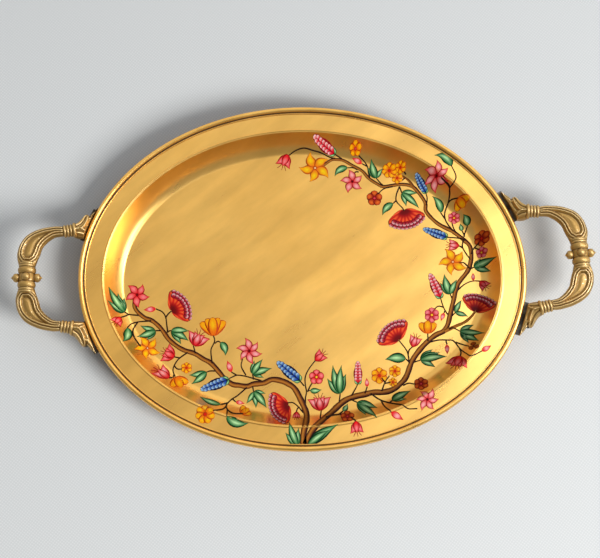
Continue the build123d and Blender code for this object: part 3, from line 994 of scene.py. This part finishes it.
# ------------------------------------------------------------------ the painted spray, in steps
# the vines: points from the root at the front rim to the tip
RIGHT_VINE = (
    (1, -75.5), (3, -71), (5, -68), (8.5, -64), (12, -60.5), (18, -55), (22.5, -53), (27, -52),
    (31.5, -51), (35.5, -51), (39.5, -50), (43, -47.5), (46, -44), (49, -36.5), (53.5, -30.5),
    (59, -25.5), (63, -23.5), (65, -20.5), (66, -17), (68, -9), (70, -2), (74.5, 4), (76, 8),
    (76.5, 12), (76, 15.5), (74, 18), (68.5, 22.5), (61.5, 26.5), (56.5, 32), (56, 36.5), (52, 42.5),
    (49, 44.5), (45, 45), (41, 44.5), (37, 44), (34, 45.5), (30.5, 48), (27.5, 51.5), (22.5, 54.5),
    (19, 56.5), (15.5, 57), (13, 56.5), (9, 53.5),
)
LEFT_VINE = (
    (0, -76.5), (0, -71.5), (1, -66.5), (1.5, -61), (0, -56.5), (-3.5, -49.5), (-6.5, -47),
    (-10, -45.5), (-14, -45), (-17.5, -46.5), (-22, -47), (-25, -48), (-28.5, -47.5), (-31.5, -47),
    (-35, -44.5), (-37, -42), (-41, -37.5), (-44.5, -35.5), (-48.5, -33), (-53, -31.5), (-56.5, -29.5),
    (-60, -26.5), (-62.5, -23), (-64.5, -20.5), (-67.5, -18), (-71, -16.5), (-74, -14), (-75.5, -11.5),
    (-75.5, -8.5),
)
RIGHT_TWIG = ((63.5, -23.5), (69, -21), (72.5, -19.5), (75.5, -17), (77.5, -14.5))
BACK_TWIG = ((51, 43.5), (49, 46.5), (46.5, 48.5), (42.5, 50.5))

# thin stems: points from a vine, twig or other stem outwards
BACK_STEMS = (
    ((15.5, 57.5), (13, 58), (9, 60), (5.5, 61), (1, 62), (-3, 61), (-6, 59)),
    ((19, 56.5), (18, 57.5), (15, 59.5)), ((25.5, 52), (23.5, 53), (21, 53)),
    ((26, 51), (24.5, 51), (23.5, 49.5)), ((31, 48), (30.5, 50.5), (30, 53.5), (28.5, 56), (26, 58.5)),
    ((30, 53.5), (27.5, 55)), ((37, 44.5), (35.5, 46), (34, 48)),
    ((47.5, 49.5), (46.5, 51), (45.5, 52)), ((47, 48), (45, 46.5), (44, 47.5)),
    ((41.5, 44), (37.5, 43), (34.5, 40.5)), ((44.5, 44), (43, 40), (43, 37), (45.5, 34), (46.5, 32.5)),
    ((43, 37.5), (41.5, 36)), ((44.5, 44), (45.5, 41)), ((56.5, 35), (57, 38), (56.5, 41)),
    ((68.5, 23), (66.5, 25.5), (65, 28.5), (65, 32), (66.5, 36), (67, 39), (67, 41.5), (68.5, 43),
     (69.5, 46), (67.5, 51)),
    ((67, 41.5), (66, 43), (63, 46)), ((66.5, 36), (68, 37), (70.5, 37)), ((65, 28.5), (63, 31.5)),
    ((70, 22), (69, 23.5), (68, 26.5)), ((73.5, 20), (73.5, 21), (75, 25)), ((73.5, 21), (72.5, 23)),
    ((74, 18.5), (71, 19.5), (65.5, 20)), ((73, 18.5), (72.5, 15.5), (74, 12.5), (76, 9.5)),
    ((72.5, 15), (71, 16)), ((75.5, 5.5), (73, 8), (71, 8)), ((76.5, 12), (77.5, 14.5), (80, 17)),
    ((78, 15), (80, 14)), ((75.5, 5), (77.5, 6)),
)
FRONT_RIGHT_STEMS = (
    ((69.5, -5), (73, -2), (76.5, -0.5), (80, -0.5)), ((67.5, -9), (66.5, -6.5)),
    ((66, -17), (64, -14), (63, -11.5), (62, -8)), ((63.5, -12.5), (61, -12), (59, -13.5)),
    ((64, -14), (63.5, -15)), ((67, -16.5), (68.5, -15)), ((56, -28), (56, -24.5)),
    ((47.5, -38), (47, -34), (46, -31.5), (43, -27.5)), ((47, -34), (47.5, -32), (49, -30.5)),
    ((65.5, -22.5), (67.5, -22), (70.5, -23.5)),
    ((56.5, -28.5), (60.5, -27.5), (64.5, -27.5), (67.5, -28), (70.5, -32), (72.5, -34.5),
     (74.5, -36.5), (79, -34.5)),
    ((68.5, -28.5), (71, -29.5), (74, -31)), ((70, -31.5), (70.5, -33.5), (70, -35.5)),
    ((64, -27.5), (64.5, -29.5)), ((49.5, -37.5), (52.5, -36.5)), ((47.5, -37.5), (46, -36)),
    ((16, -55.5), (16.5, -51.5)), ((21.5, -52.5), (23.5, -49), (24.5, -47)),
    ((27.5, -51.5), (28.5, -48.5)), ((35, -50.5), (36.5, -46.5), (38.5, -43.5)),
    ((36.5, -46.5), (35, -44.5)), ((36.5, -47), (39, -46.5)), ((44.5, -48), (47, -47), (50, -47.5)),
    ((30, -51.5), (33.5, -54), (37.5, -56), (43, -58), (46, -60), (50, -60)),
    ((38.5, -56), (39.5, -55)), ((34.5, -54.5), (36, -58), (38.5, -61.5)), ((21, -54), (24, -55.5)),
    ((10, -62.5), (13, -61.5), (17, -61)), ((16, -61), (17.5, -59.5)), ((21, -63), (23, -65.5)),
)
FRONT_LEFT_STEMS = (
    ((1, -56.5), (1, -53.5), (1.5, -50.5), (1, -47.5), (1, -44), (2.5, -40.5), (5.5, -36.5)),
    ((0.5, -48), (-1.5, -45.5)), ((2, -50.5), (3.5, -47.5), (5.5, -45)), ((1.5, -50.5), (3, -50)),
    ((7.5, -63), (8, -59)), ((0, -60), (-2, -57.5), (-4.5, -55.5), (-7, -55.5)),
    ((-1.5, -57.5), (-2.5, -58), (-3, -59.5)), ((-22, -45), (-22.5, -42.5)),
    ((-22.5, -48), (-22, -50.5)),
    ((-18.5, -45.5), (-22, -44.5), (-25.5, -43.5), (-29.5, -43), (-33, -44.5)),
    ((-25.5, -43), (-27.5, -39), (-27, -35.5)), ((-29.5, -43), (-32, -41.5)),
    ((-39, -41), (-41.5, -41), (-43, -41.5)),
    ((-40.5, -37.5), (-41, -34), (-41, -31), (-39.5, -27.5), (-40, -25)),
    ((-39.5, -28.5), (-38, -27.5), (-37, -28)), ((-48, -33), (-49, -29.5)),
    ((-51.5, -32.5), (-55, -35), (-57, -37.5), (-58, -40.5), (-57, -43.5)),
    ((-57.5, -38.5), (-56, -40), (-54, -40)), ((-55, -35), (-57.5, -34.5)),
    ((-57.5, -42.5), (-58, -44), (-59.5, -44.5)),
    ((-25, -48.5), (-29, -52), (-32, -54), (-34, -56.5), (-33.5, -59), (-31, -61), (-26.5, -61)),
    ((-33.5, -55.5), (-36.5, -56.5)), ((-34, -57), (-35.5, -59), (-39.5, -60.5)),
    ((-33.5, -59), (-33.5, -63)), ((-31.5, -53.5), (-30, -55)),
    ((-73.5, -15.5), (-78, -15), (-80, -14)), ((-78, -15), (-81.5, -17)),
    ((-68, -18), (-74, -18.5), (-77, -19.5), (-78.5, -21.5)),
    ((-74, -18.5), (-76, -22), (-75.5, -25.5), (-72.5, -30)), ((-63.5, -22.5), (-66, -22.5)),
    ((-60.5, -23.5), (-61, -20), (-61.5, -16.5), (-63, -14), (-66, -12.5)),
    ((-61.5, -16.5), (-60.5, -15), (-59, -13.5)), ((-61, -23), (-59, -22.5)),
)

# centre, end of the first petal, petals, tint, swirl
STARS = (
    ((6, 53), (4, 60.5), 5, YELLOW, 0.14), ((23, 46.5), (21, 41), 5, PINK, -0.12),
    ((61, 47), (61, 53.5), 6, PINK, -0.12), ((68, 8.5), (64.5, 14.5), 5, YELLOW, -0.14),
    ((54.5, -56), (57, -51), 6, PINK, -0.12), ((-24, -32), (-26, -26), 6, PINK, -0.13),
    ((-74.5, -6), (-73.5, -12), 5, RED, -0.12), ((-69.5, -30.5), (-73, -25.5), 5, YELLOW, -0.12),
)
# centre, radius, petals, tint, eye
ROSETTES = (
    ((24.5, 61), 2.9, 5, ORANGE, PALE_EYE), ((40, 51.5), 3.6, 7, ORANGE, RED_EYE),
    ((45, 52.5), 2.6, 6, ORANGE, RED_EYE), ((43.5, 48), 2.7, 6, ORANGE, RED_EYE),
    ((33, 38.5), 3.7, 5, EMBER, PALE_EYE), ((69, 29), 2.9, 6, CORAL, GOLD_EYE),
    ((81, 18.5), 3.4, 6, EMBER, RED_EYE), ((81, 12.5), 2.6, 5, CORAL, GOLD_EYE),
    ((58, -16), 3.5, 6, CORAL, GOLD_EYE), ((34, -43.5), 3.8, 6, ORANGE, RED_EYE),
    ((41, -41.5), 2.8, 6, ORANGE, RED_EYE), ((40, -46.5), 2.1, 6, ORANGE, RED_EYE),
    ((52.5, -47.5), 3.3, 6, EMBER, PALE_EYE), ((19.5, -62.5), 3.2, 5, EMBER, PALE_EYE),
    ((6, -44), 3.5, 5, RED, GOLD_EYE), ((-52, -39.5), 2.6, 6, ORANGE, RED_EYE),
    ((-43, -62), 4.4, 7, ORANGE, RED_EYE), ((75.8, -31.5), 2.3, 3, RUST, RUST[0]),
)
# base, tip, tint
SPIKES = (
    ((15, 59.5), (5.5, 66), ROSE), ((56.5, 41), (52, 49.5), BLUE), ((65.5, 20), (55, 24), BLUE),
    ((62, -8), (57.5, 3), ROSE), ((24.5, -47), (24.5, -37), ROSE), ((-1.5, -45.5), (-11.5, -37), BLUE),
    ((-33.5, -45), (-45.5, -49.5), BLUE),
)
# base, middle of the far edge
FANS = (
    ((46.5, 33), (48.5, 24)), ((77.5, -14.5), (80.5, -7)), ((43, -27.5), (37.5, -20.5)),
    ((-6.5, -56.5), (-14.5, -60)), ((-59, -13.5), (-51.5, -9)),
)
# kinds of blossom: petals, degrees they spread each side, half width, shape
TULIP = (3, 30, 0.27, CUPPED)
CROWN = (3, 42, 0.33, ROUND)
SHELL = (5, 44, 0.27, ROUND)
LOTUS = (5, 44, 0.27, CUPPED)
# base, tip, kind, tint
BLOSSOMS = (
    ((-6.5, 59.5), (-9, 53.5), TULIP, RED), ((70.5, 37), (73.6, 32.8), CROWN, ORANGE),
    ((71, 16), (66, 16.5), TULIP, PINK), ((80, -0.5), (83, -4), TULIP, RED),
    ((56, -24.5), (56, -18.5), CROWN, ORANGE), ((49, -30.5), (51, -25.5), TULIP, PINK),
    ((70, -35.5), (67.5, -41), LOTUS, RED), ((23, -65.5), (23.5, -71), TULIP, RED),
    ((5.5, -36.5), (9.5, -33), TULIP, RED), ((7.7, -59), (7, -52.5), LOTUS, PINK),
    ((-3, -59.5), (-3, -63), TULIP, RED), ((-40, -25), (-40.5, -16.5), SHELL, ORANGE),
    ((-48.5, -29.5), (-46, -23.5), LOTUS, PINK), ((-56.5, -43.5), (-54, -49), CROWN, ORANGE),
    ((-57.5, -34.5), (-62.5, -32), LOTUS, RED), ((-59.5, -44.5), (-65, -40.5), TULIP, PINK),
    ((-27.5, -61), (-24, -58), CROWN, ORANGE), ((-81.5, -17), (-83.5, -21), TULIP, RED),
)
# base, tip
BUDS = (
    ((27.5, 55), (23, 57.7)), ((77, -0.2), (77, 3.5)), ((63.5, -15), (62, -18.8)),
    ((79, -34.5), (83.3, -32)), ((64.5, -29.5), (64.5, -34)), ((28.5, -48.5), (28.3, -44.5)),
    ((38.5, -61.5), (43.8, -65)), ((-32, -41.5), (-33.8, -36.3)), ((-30, -55), (-26, -55.7)),
    ((-66, -12.5), (-71.5, -13)),
)
# base, tip, half width, bow
SINGLE_LEAVES = (
    ((21, 53), (15, 49), 0.24, -0.18), ((41.5, 36), (36.5, 30.5), 0.24, -0.12),
    ((67.5, 50.5), (60, 55.7), 0.25, -0.22), ((63, 31.5), (59.3, 39.3), 0.22, -0.15),
    ((72.5, 22.8), (71.8, 26.3), 0.33, 0), ((75, 25), (73.2, 30.2), 0.32, -0.08),
    ((46, -36), (36.8, -36.2), 0.26, -0.07), ((17.5, -59.5), (19.7, -56), 0.30, -0.08),
    ((3, -50), (8.2, -49.7), 0.26, -0.06), ((-37, -28), (-34.7, -34), 0.28, 0.15),
    ((-36.5, -56.5), (-45.8, -53), 0.15, 0.06), ((-33.5, -63), (-24, -66), 0.22, -0.16),
    ((-78.5, -21.5), (-79.7, -29.3), 0.24, 0.13),
)
# base, tips of the leaflets
LOBED_LEAVES = (
    ((34, 48), ((30, 53.3), (37.2, 52.7), (31.8, 56.8))),
    ((45.5, 41), ((52.7, 40.7), (47.4, 34.6), (53.3, 33.6))),
    ((77.5, 6), ((80.7, 9.8), (84.8, 3.2), (87, 8.8))),
    ((66.5, -6.5), ((62, -1.2), (64, 2.8), (69.7, 0.3))), ((68.5, -15), ((71.5, -9.2), (74.3, -16.8))),
    ((70.5, -23.5), ((76.7, -20.7), (74, -29.3), (78, -29.3), (80.8, -26))),
    ((52.5, -36.5), ((58, -31.7), (61.2, -33.2), (59, -39.8), (64.3, -35))),
    ((16.5, -51.5), ((10.8, -44.7), (19.2, -42.7), (13.3, -38.7), (17.2, -38.7))),
    ((39.5, -55), ((43, -50.7), (45.7, -55), (47.8, -50.7))),
    ((24, -55.5), ((32.8, -58.5), (27.5, -62.2), (32.3, -64.2))),
    ((2, -76), ((15.2, -66.8), (11.3, -69.3))),
    ((-2.5, -76), ((-7.8, -70.3), (-2, -68.3), (-6.2, -65.3))),
    ((-22.5, -42.5), ((-17.5, -44.2), (-16.5, -42), (-21.7, -36.3), (-14, -40), (-18, -35.8))),
    ((-22, -50.5), ((-16.7, -51.3), (-17, -54.7), (-21, -57.8), (-25.2, -55.7), (-16.3, -57.7))),
    ((-43, -41.5), ((-50.8, -42.8), (-49.7, -46.8))),
    ((-80, -14), ((-84.8, -13.7), (-86.8, -10.4), (-80.3, -7.2), (-83, -5.7), (-86.7, -3.7))),
    ((-66, -22.5), ((-72.8, -20.2), (-70, -26.8), (-74.3, -25.2))),
    ((-59, -22.5), ((-54.5, -28.8), (-51.2, -27.2), (-51, -22.8))),
)


def paint_vines():
    """The two branches that rise from one root at the front rim, with their thicker twigs."""
    bark = (SHADE, BARK, OCHRE, BARK, SHADE, SHADE)
    for name, line, start, end in (("right", RIGHT_VINE, 1.5, 0.65), ("left", LEFT_VINE, 1.45, 0.95)):
        vine = Motif(VINE_FILM)
        stroke(vine, line, start, end, bark)
        vine.finish(f"painted_vine_{name}")
    twigs = Motif(TWIG_FILM)
    stroke(twigs, RIGHT_TWIG, 0.85, 0.5, (BARK, OCHRE, BARK))
    stroke(twigs, BACK_TWIG, 0.7, 0.35, (OCHRE, BARK, SHADE))
    twigs.finish("painted_twigs")


def paint_stems(name, stems):
    """Thin dark stems between the vines and the flowers."""
    motif = Motif(STEM_FILM)
    for stem in stems:
        stroke(motif, stem, 0.34, 0.26)
    motif.finish(f"painted_stems_{name}")


def paint_each(name, rows, brush):
    """One object for every row of a list, painted by its brush."""
    for k, row in enumerate(rows):
        motif = Motif()
        brush(motif, *row)
        motif.finish(f"painted_{name}_{k + 1:02d}")


def paint_spray():
    """The whole flowering spray along the front and right of the tray."""
    paint_vines()
    paint_stems("back", BACK_STEMS)
    paint_stems("front_right", FRONT_RIGHT_STEMS)
    paint_stems("front_left", FRONT_LEFT_STEMS)
    paint_each("star", STARS, star)
    paint_each("rosette", ROSETTES, rosette)
    paint_each("spike", SPIKES, spike)
    paint_each("fan", FANS, fan)
    paint_each("blossom", BLOSSOMS, blossom)
    paint_each("bud", BUDS, bud)
    paint_each("leaf", SINGLE_LEAVES, petal)
    paint_each("leaves", LOBED_LEAVES, leaves)


# ------------------------------------------------------------------ studio, in metres
SHEEN = (0.92, 1.0, 1.35)  # colour of the lights that only show as a sheen on metal
DAYLIGHT = (1.0, 0.99, 0.97)
SKY = (0.95, 0.97, 1.0)
# name, place, size, power, colour: the key lights cloth and paint, the others show in the metal
LIGHTS = (
    ("key", (2.15, -1.5, 1.9), (1.4, 1.4), 122, DAYLIGHT),
    ("glow", (1.4, -0.2, 0.95), (0.8, 0.8), 14, SHEEN),
    ("softbox", (0.78, 0.22, 1.4), (0.45, 0.6), 10.5, SHEEN),
)
CAMERA_DISTANCE = 1.6
CAMERA_ELEVATION = 77.0  # degrees
CAMERA_ROLL = -0.3
LENS_MM = 110.5


def add_threads(look, turn):
    """Parallel threads of the cloth, turned in plan."""
    placed = look.add("Mapping", {"Vector": look.places["Object"], "Rotation": (0, 0, math.radians(turn))})
    wave = {"Vector": placed["Vector"], "Scale": 150, "Distortion": 1.5, "Detail": 2}
    return look.add("TexWave", wave)["Fac"]


def build_floor():
    """Plain pale woven cloth the tray stands on, a little below its foot so that the two don't coincide."""
    look = Pattern(bpy.data.materials.new("floor_cloth"))
    weave = look.product(add_threads(look, 38), add_threads(look, -52))
    cloth = look.ramp(weave, 0.05, (0.68, 0.70, 0.70), 0.6, (0.77, 0.785, 0.785))
    material = look.shade({"Base Color": cloth, "Roughness": 0.9})
    reach = 3000.0
    level = -0.3
    points = [(x, y, level) for x, y in ((-reach, -reach), (reach, -reach), (reach, reach), (-reach, reach))]
    make_object("floor", points, [(0, 1, 2, 3)], material, smooth=False)


def build_lights():
    """Soft boxes on the right that face the tray."""
    for name, place, size, power, colour in LIGHTS:
        data = bpy.data.lights.new(name, "AREA")
        data.shape = "RECTANGLE"
        data.size, data.size_y = size
        data.energy = power
        data.color = colour
        light = bpy.data.objects.new(name, data)
        light.location = place
        light.rotation_euler = (-Vector(place)).to_track_quat("-Z", "Y").to_euler()
        light.visible_glossy = colour is SHEEN
        light.visible_diffuse = colour is not SHEEN
        bpy.context.scene.collection.objects.link(light)


def build_room():
    """A pale room, darker to the left and front, that lights cloth and paint less than it shows in metal."""
    world = bpy.data.worlds.new("room")
    bpy.context.scene.world = world
    look = Pattern(world)
    along = look.add("SeparateXYZ", (look.places["Generated"],))
    back = look.spread(along["Y"], -0.4, 0.7, 0.35, 1.0)
    right = look.spread(along["X"], -0.8, 0.8, 0.85, 1.25)
    shy = look.spread(look.add("LightPath", ())["Is Diffuse Ray"], 0.0, 1.0, 1.0, 0.5)
    background = look.tree.nodes["Background"]
    look.fill(background.inputs["Color"], SKY)
    look.fill(background.inputs["Strength"], look.product(look.product(back, right), shy))


def build_camera():
    """Camera almost straight above, slightly from the front."""
    data = bpy.data.cameras.new("camera")
    data.sensor_width = 36.0
    data.lens = LENS_MM
    camera = bpy.data.objects.new("camera", data)
    elevation = math.radians(CAMERA_ELEVATION)
    target = Vector((-0.0022, -0.0028, RIM_TOP * MM))
    camera.location = target + CAMERA_DISTANCE * Vector((0, -math.cos(elevation), math.sin(elevation)))
    look = (target - camera.location).to_track_quat("-Z", "Y")
    roll = Matrix.Rotation(math.radians(CAMERA_ROLL), 4, "Z").to_quaternion()
    camera.rotation_euler = (look @ roll).to_euler()
    bpy.context.scene.collection.objects.link(camera)
    bpy.context.scene.camera = camera


# ------------------------------------------------------------------ put together
build_pan(sheet_material("sheet_brass"))
build_moulding(moulding_material("moulding_brass"))
build_handles(cast_material("cast_brass"))
paint_spray()
dark_plate = plate_material("blackened_plate")
turned_screw = screw_material("screw_brass")
for node_name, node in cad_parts.items():
    for prefix, material in (("plate_", dark_plate), ("screws_", turned_screw)):
        if node_name.startswith(prefix):
            node.data.materials.clear()
            node.data.materials.append(material)
build_floor()
build_room()
build_lights()
build_camera()
bpy.context.scene.view_settings.view_transform = "Standard"
